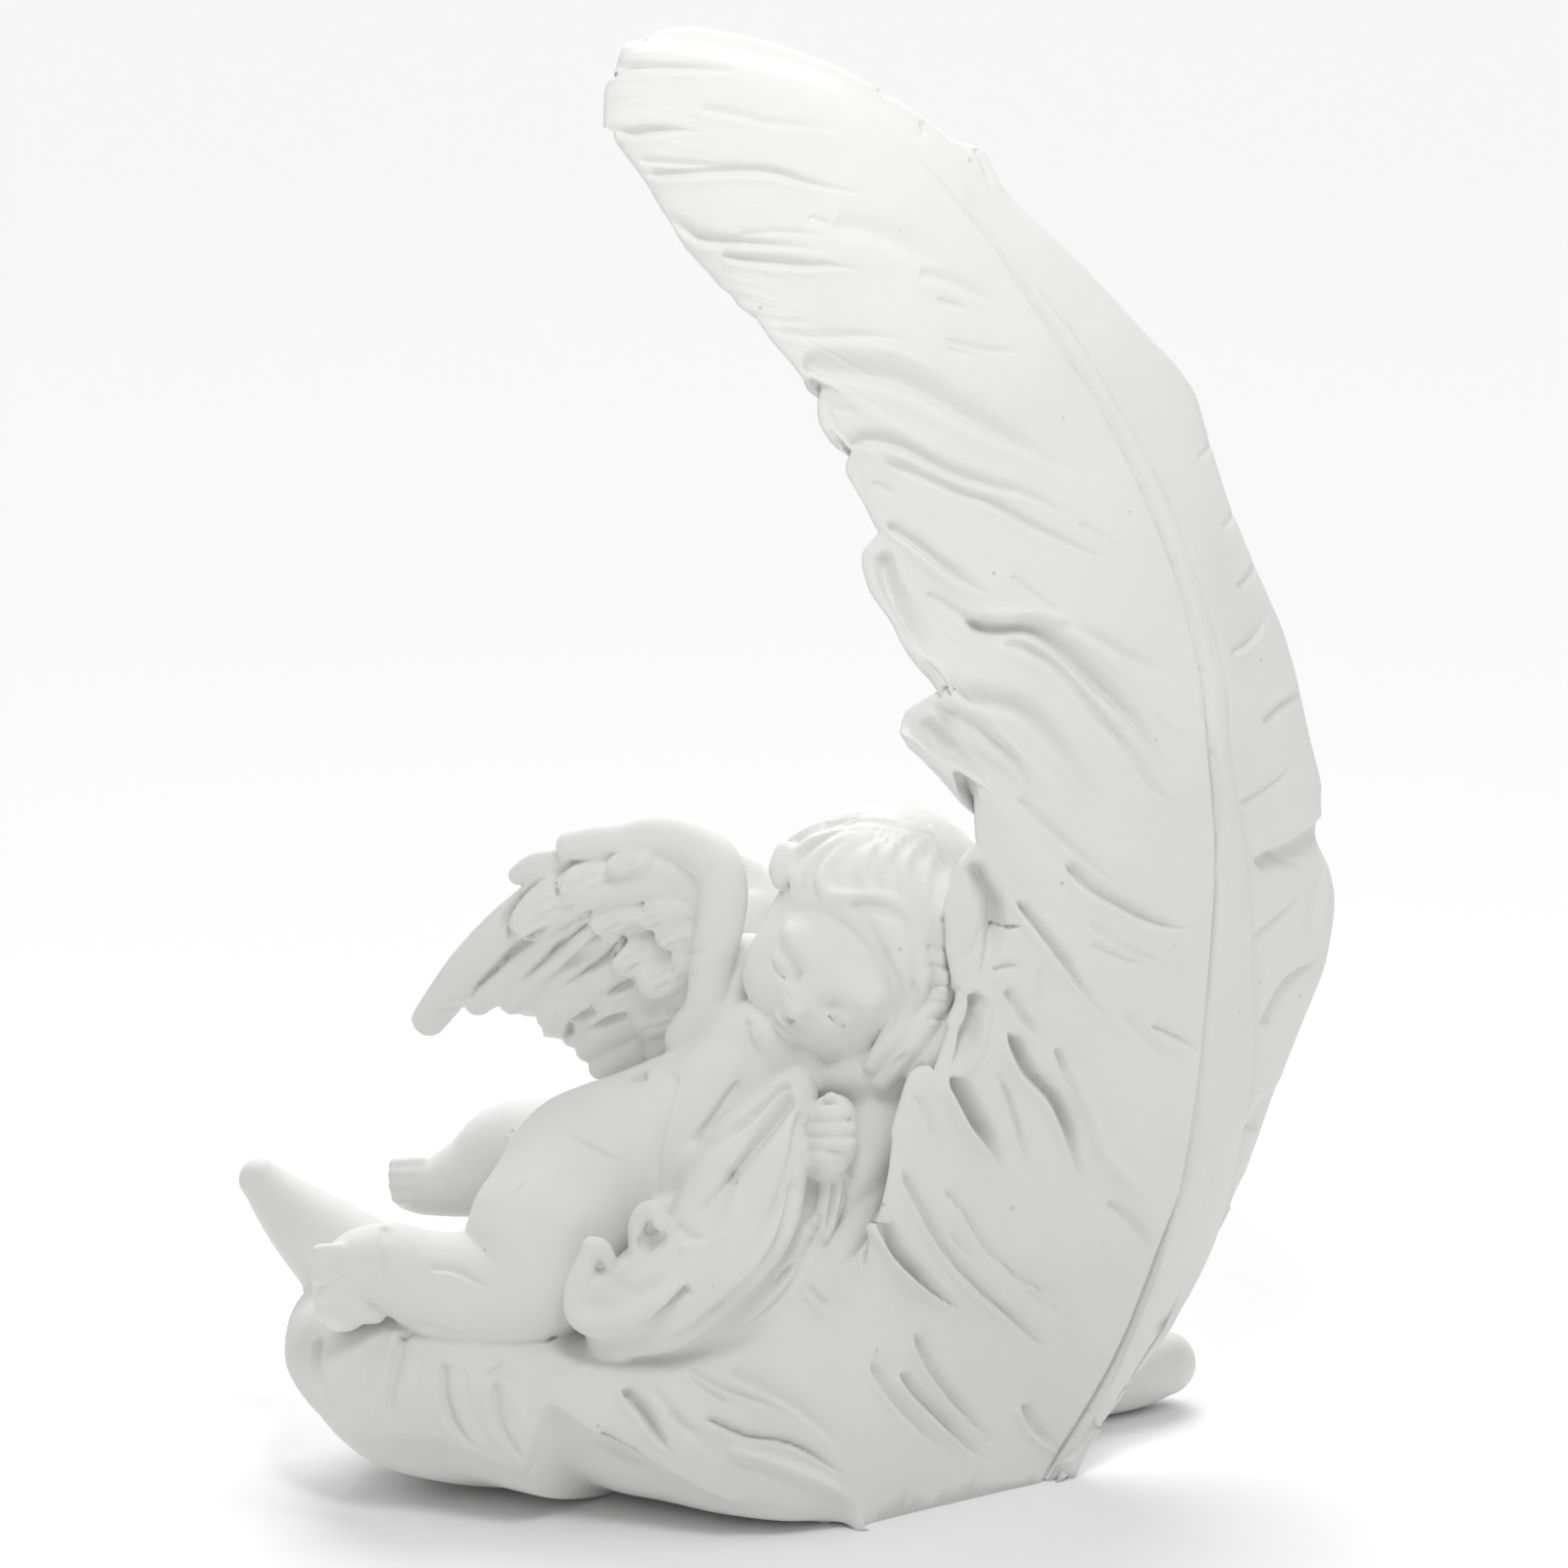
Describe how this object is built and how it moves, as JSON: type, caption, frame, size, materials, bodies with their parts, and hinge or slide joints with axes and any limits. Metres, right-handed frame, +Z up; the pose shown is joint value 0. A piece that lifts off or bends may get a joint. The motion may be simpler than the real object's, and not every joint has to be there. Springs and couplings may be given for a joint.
{
  "type": "memorial figurine",
  "caption": "White cast angel: a winged cherub asleep against an upright curled feather that sweeps under it and arches over its head.",
  "frame": {"origin": "on the flat underside, under the figure's chest, midway along the piece", "axes": "+X along the piece from the quill towards the upright feather, +Y from the face side towards the back, +Z up"},
  "size_m": [0.2865, 0.1193, 0.3764],
  "materials": {
    "white_cast_stone": null
  },
  "bodies": {
    "root": {"angel_in_feather": "white_cast_stone"}
  },
  "joints": []
}
